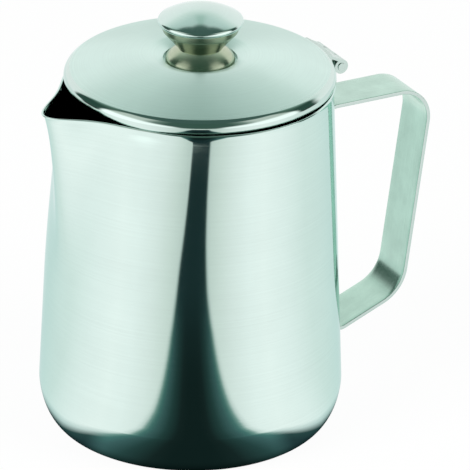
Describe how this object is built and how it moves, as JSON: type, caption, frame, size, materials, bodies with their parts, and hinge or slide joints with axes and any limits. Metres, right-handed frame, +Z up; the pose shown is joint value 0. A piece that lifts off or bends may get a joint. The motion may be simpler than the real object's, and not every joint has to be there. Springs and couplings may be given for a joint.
{
  "type": "milk jug with hinged lid",
  "caption": "Tapered stainless steel jug for hot milk, with a pulled pouring spout, a flat strap handle and a domed, knobbed lid that swings on a hinge above the handle.",
  "frame": {"origin": "centre of the flat base, on the jug's axis, where it stands", "axes": "+Z up, +X towards the handle, -X towards the spout, the lid's hinge along Y"},
  "size_m": [0.164, 0.118, 0.1709],
  "materials": {
    "shell": "polished with a fine horizontal grain",
    "lid": "satin",
    "strap": "satin",
    "hinge": "satin",
    "knob": "polished",
    "fastener": "plain"
  },
  "bodies": {
    "jug": {"jug_body": "shell", "handle": "strap", "hinge_bracket": "hinge", "hinge_pin": "hinge"},
    "lid": {"lid_shell": "lid", "hinge_leaf": "hinge", "knob_base": "knob", "knob_neck": "knob", "knob_cap": "lid", "knob_screw": "fastener", "knob_washer": "fastener"}
  },
  "joints": [
    {"name": "lid_hinge", "type": "hinge", "parent": "jug", "child": "lid", "pos_m": [0.059, 0, 0.1387], "axis": [0, 1, 0], "range_deg": [0, 105]}
  ]
}
